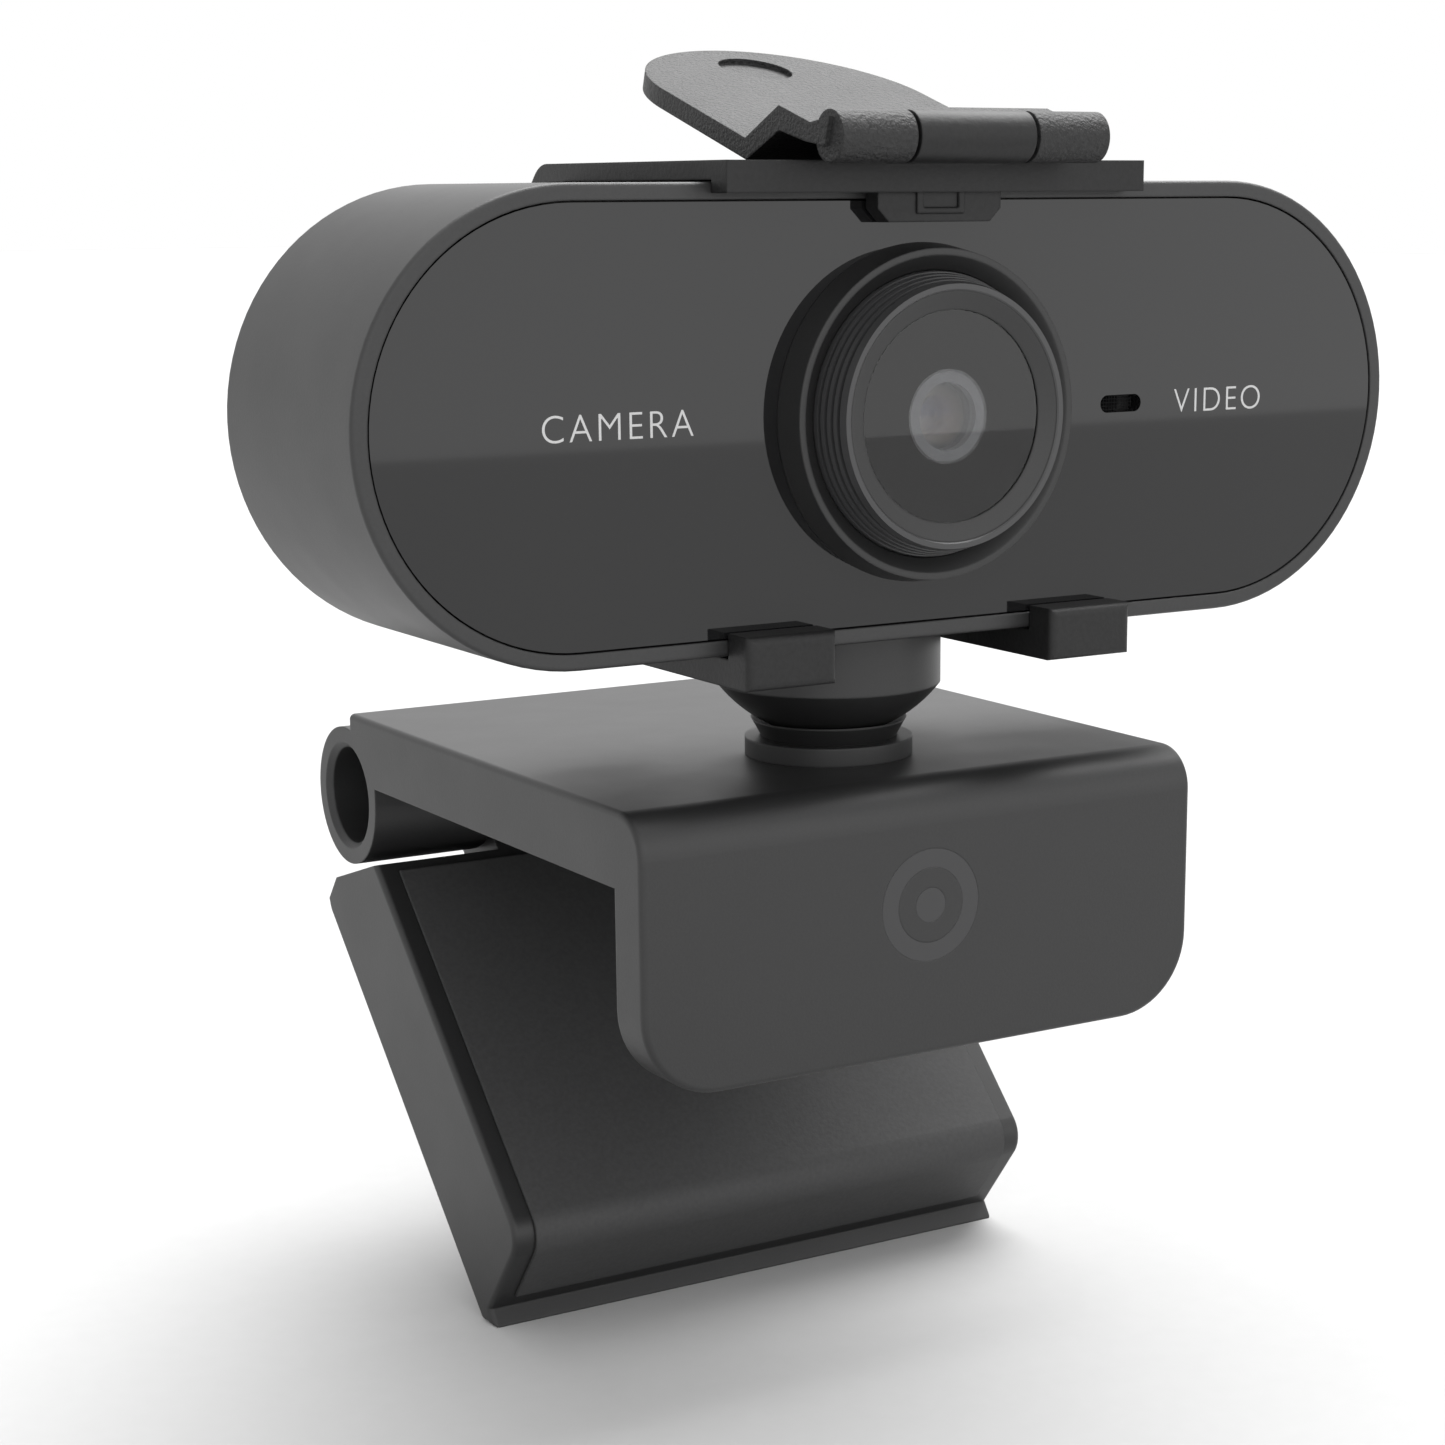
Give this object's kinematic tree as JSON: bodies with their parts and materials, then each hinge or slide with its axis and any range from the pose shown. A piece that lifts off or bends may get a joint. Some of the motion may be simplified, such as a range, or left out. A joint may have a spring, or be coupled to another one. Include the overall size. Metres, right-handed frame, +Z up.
{
  "type": "monitor clip webcam",
  "caption": "Clip-on webcam: an obround camera head with a hinged privacy cover, on a pan and tilt neck over a folding monitor clip.",
  "frame": {"origin": "centre of the rubber pad's lower face under the clip plate, the face that rests on a screen's top edge", "axes": "-Y is the way the camera looks, +X is to the right as seen from the front, +Z is up; the barrel of the folding jaw runs along X"},
  "size_m": [0.095, 0.0675, 0.1071],
  "materials": {
    "charcoal_plastic": "fine satin grain",
    "dark_plastic": "satin",
    "polished_inlay": "polished",
    "soft_rubber": "matt",
    "steel": "turned",
    "nylon": "natural",
    "gloss_panel": "mirror gloss",
    "foam": "foam",
    "lens_ring": "semi-gloss with fine grooves",
    "window_glass": "clear, tinted",
    "lens_glass": "coated",
    "light_ring": "satin",
    "filter_glass": "coated",
    "sensor": "satin",
    "circuit_board": "solder resist",
    "chip": "moulded",
    "cover_plastic": "fine grain"
  },
  "bodies": {
    "clip": {"clip_bracket": "charcoal_plastic", "lip_pad": "soft_rubber", "screen_pad": "soft_rubber", "lip_emblem": "polished_inlay", "hinge_pin": "steel", "hinge_caps": "charcoal_plastic", "hinge_washers": "nylon", "neck_flange": "dark_plastic"},
    "jaw": {"rear_jaw": "charcoal_plastic", "jaw_pad": "soft_rubber", "jaw_back_plate": "charcoal_plastic"},
    "swivel": {"swivel_saddle": "dark_plastic", "pivot_stud": "steel", "thrust_washer": "steel", "swivel_washer": "nylon", "disc_spring": "steel", "lock_nut": "steel"},
    "head": {"housing_shell": "charcoal_plastic", "rear_cover": "charcoal_plastic", "front_panel": "gloss_panel", "panel_gasket": "foam", "lens_base_ring": "dark_plastic", "lens_ring": "lens_ring", "lens_bezel": "dark_plastic", "lens_window": "window_glass", "lens_mask": "gloss_panel", "lens_retainer": "light_ring", "front_lens": "lens_glass", "rear_lens": "lens_glass", "lens_barrel": "dark_plastic", "lens_holder": "dark_plastic", "infrared_filter": "filter_glass", "image_sensor": "sensor", "main_board": "circuit_board", "board_screws": "steel", "rear_screws": "steel", "processor_chip": "chip", "heat_pad": "foam", "cable_socket": "nylon", "microphone": "sensor", "microphone_boot": "soft_rubber", "inner_chassis": "dark_plastic", "cable_gland": "soft_rubber", "cover_frame": "cover_plastic", "flap_pin": "steel", "neck_cup": "dark_plastic", "neck_snap_ring": "steel"},
    "flap": {"cover_flap": "cover_plastic"}
  },
  "joints": [
    {"name": "head_pan", "type": "hinge", "parent": "clip", "child": "swivel", "pos_m": [0, -0.0184, 0.0066], "axis": [0, 0, 1], "range_deg": [-175, 175]},
    {"name": "head_tilt", "type": "hinge", "parent": "swivel", "child": "head", "pos_m": [0, -0.0184, 0.0198], "axis": [1, 0, 0], "range_deg": [-12, 12]},
    {"name": "cover_flap_hinge", "type": "hinge", "parent": "head", "child": "flap", "pos_m": [0, -0.0372, 0.0561], "axis": [1, 0, 0], "range_deg": [0, 252]},
    {"name": "jaw_hinge", "type": "hinge", "parent": "clip", "child": "jaw", "pos_m": [0, 0.0221, -0.0011], "axis": [1, 0, 0], "range_deg": [-44, 110]}
  ]
}
